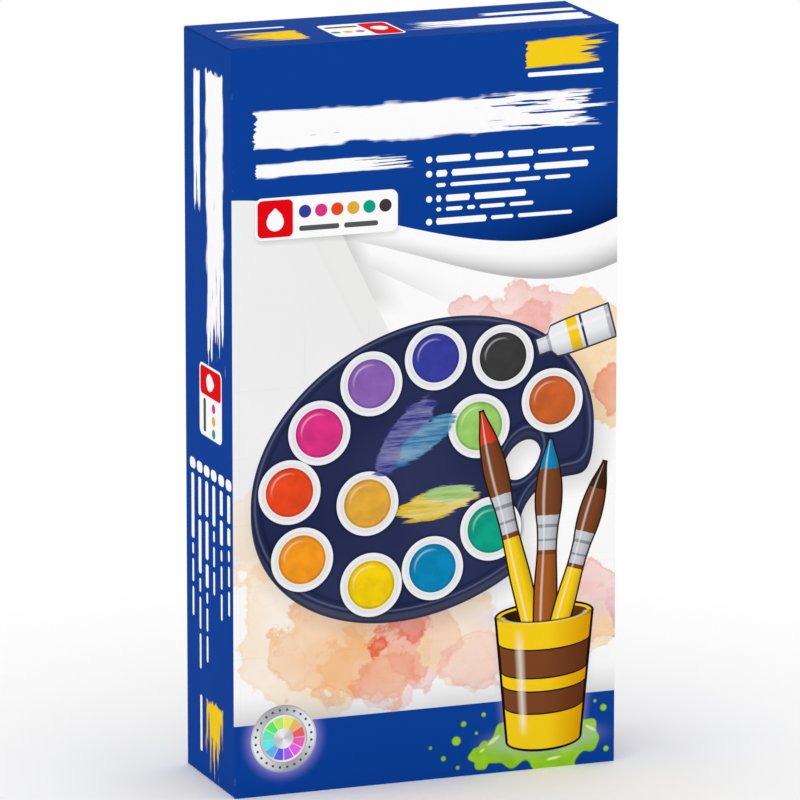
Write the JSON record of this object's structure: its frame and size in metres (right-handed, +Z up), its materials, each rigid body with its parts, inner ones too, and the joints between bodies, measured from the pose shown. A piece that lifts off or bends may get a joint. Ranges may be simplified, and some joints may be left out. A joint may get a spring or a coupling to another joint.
{
  "type": "gouache paint set box",
  "caption": "Upright folding carton with tuck flaps at both ends, holding a hinged two-tier gouache paint box with pans, cakes and a tube.",
  "frame": {"origin": "middle of the carton's underside", "axes": "+Z up along the carton's height, front panel faces -Y, +X to the right of someone facing the front"},
  "size_m": [0.132, 0.046, 0.245],
  "materials": {
    "printed_board": "gloss",
    "raw_board": "matte",
    "navy_plastic": "gloss",
    "white_plastic": "gloss",
    "tube_skin": "satin",
    "paint_yellow": "matte",
    "paint_orange": "matte",
    "paint_vermilion": "matte",
    "paint_magenta": "matte",
    "paint_violet": "matte",
    "paint_ultramarine": "matte",
    "paint_cyan_blue": "matte",
    "paint_teal": "matte",
    "paint_light_green": "matte",
    "paint_ochre": "matte",
    "paint_burnt_orange": "matte",
    "paint_black": "matte",
    "paint_white": "matte",
    "paint_lemon_yellow": "matte",
    "paint_carmine": "matte",
    "paint_turquoise": "matte",
    "paint_prussian_blue": "matte",
    "paint_dark_brown": "matte",
    "paint_petrol_blue": "matte",
    "paint_green": "matte",
    "paint_olive_green": "matte",
    "paint_olive_brown": "matte",
    "paint_flesh_pink": "matte",
    "paint_light_brown": "matte"
  },
  "bodies": {
    "carton": {"front_panel": "printed_board", "back_panel": "printed_board", "left_side_panel": "printed_board", "right_side_panel": "printed_board", "glue_flap": "raw_board"},
    "top_flap": {"top_flap": "printed_board"},
    "top_tuck_tab": {"top_tuck_tab": "printed_board"},
    "top_dust_flap_left": {"top_dust_flap_left": "raw_board"},
    "top_dust_flap_right": {"top_dust_flap_right": "raw_board"},
    "bottom_flap": {"bottom_flap": "printed_board"},
    "bottom_tuck_tab": {"bottom_tuck_tab": "printed_board"},
    "bottom_dust_flap_left": {"bottom_dust_flap_left": "raw_board"},
    "bottom_dust_flap_right": {"bottom_dust_flap_right": "raw_board"},
    "paint_box": {"case_base": "navy_plastic", "insert_tray": "navy_plastic", "mixing_lid": "white_plastic", "case_pans": "white_plastic", "insert_pans": "white_plastic", "tube_body": "tube_skin", "cake_yellow": "paint_yellow", "cake_orange": "paint_orange", "cake_vermilion": "paint_vermilion", "cake_magenta": "paint_magenta", "cake_violet": "paint_violet", "cake_ultramarine": "paint_ultramarine", "cake_cyan_blue": "paint_cyan_blue", "cake_teal": "paint_teal", "cake_light_green": "paint_light_green", "cake_ochre": "paint_ochre", "cake_burnt_orange": "paint_burnt_orange", "cake_black": "paint_black", "cake_white": "paint_white", "cake_lemon_yellow": "paint_lemon_yellow", "cake_carmine": "paint_carmine", "cake_turquoise": "paint_turquoise", "cake_prussian_blue": "paint_prussian_blue", "cake_dark_brown": "paint_dark_brown", "cake_petrol_blue": "paint_petrol_blue", "cake_green": "paint_green", "cake_olive_green": "paint_olive_green", "cake_olive_brown": "paint_olive_brown", "cake_flesh_pink": "paint_flesh_pink", "cake_light_brown": "paint_light_brown"},
    "tube_cap": {"tube_cap": "white_plastic"}
  },
  "joints": [
    {"name": "top_flap_hinge", "type": "hinge", "parent": "carton", "child": "top_flap", "pos_m": [0, 0.02252, 0.245], "axis": [-1, 0, 0], "range_deg": [0, 175]},
    {"name": "top_tab_fold", "type": "hinge", "parent": "top_flap", "child": "top_tuck_tab", "pos_m": [0, -0.02162, 0.2445], "axis": [-1, 0, 0], "range_deg": [0, 43.75]},
    {"name": "top_dust_left_hinge", "type": "hinge", "parent": "carton", "child": "top_dust_flap_left", "pos_m": [-0.0655, 0, 0.2445], "axis": [0, -1, 0], "range_deg": [0, 87.5]},
    {"name": "top_dust_right_hinge", "type": "hinge", "parent": "carton", "child": "top_dust_flap_right", "pos_m": [0.0655, 0, 0.2445], "axis": [0, 1, 0], "range_deg": [0, 87.5]},
    {"name": "bottom_flap_hinge", "type": "hinge", "parent": "carton", "child": "bottom_flap", "pos_m": [0, 0.02252, 0], "axis": [1, 0, 0], "range_deg": [0, 175]},
    {"name": "bottom_tab_fold", "type": "hinge", "parent": "bottom_flap", "child": "bottom_tuck_tab", "pos_m": [0, -0.02162, 0.0005], "axis": [1, 0, 0], "range_deg": [0, 43.75]},
    {"name": "bottom_dust_left_hinge", "type": "hinge", "parent": "carton", "child": "bottom_dust_flap_left", "pos_m": [-0.0655, 0, 0.0005], "axis": [0, 1, 0], "range_deg": [0, 87.5]},
    {"name": "bottom_dust_right_hinge", "type": "hinge", "parent": "carton", "child": "bottom_dust_flap_right", "pos_m": [0.0655, 0, 0.0005], "axis": [0, -1, 0], "range_deg": [0, 87.5]},
    {"name": "paint_box_slide", "type": "slide", "parent": "carton", "child": "paint_box", "axis": [0, 0, 1], "range_m": [0, 0.006]},
    {"name": "tube_cap_turn", "type": "hinge", "parent": "paint_box", "child": "tube_cap", "pos_m": [0.04655, 0.01312, 0.2133], "axis": [0, 0, 1], "range_deg": [0, 720]}
  ],
  "couplings": [
    {"joint": "top_tab_fold", "follows": "top_flap_hinge", "ratio": 0.25},
    {"joint": "top_dust_left_hinge", "follows": "top_flap_hinge", "ratio": 0.5},
    {"joint": "top_dust_right_hinge", "follows": "top_flap_hinge", "ratio": 0.5},
    {"joint": "bottom_tab_fold", "follows": "bottom_flap_hinge", "ratio": 0.25},
    {"joint": "bottom_dust_left_hinge", "follows": "bottom_flap_hinge", "ratio": 0.5},
    {"joint": "bottom_dust_right_hinge", "follows": "bottom_flap_hinge", "ratio": 0.5}
  ]
}
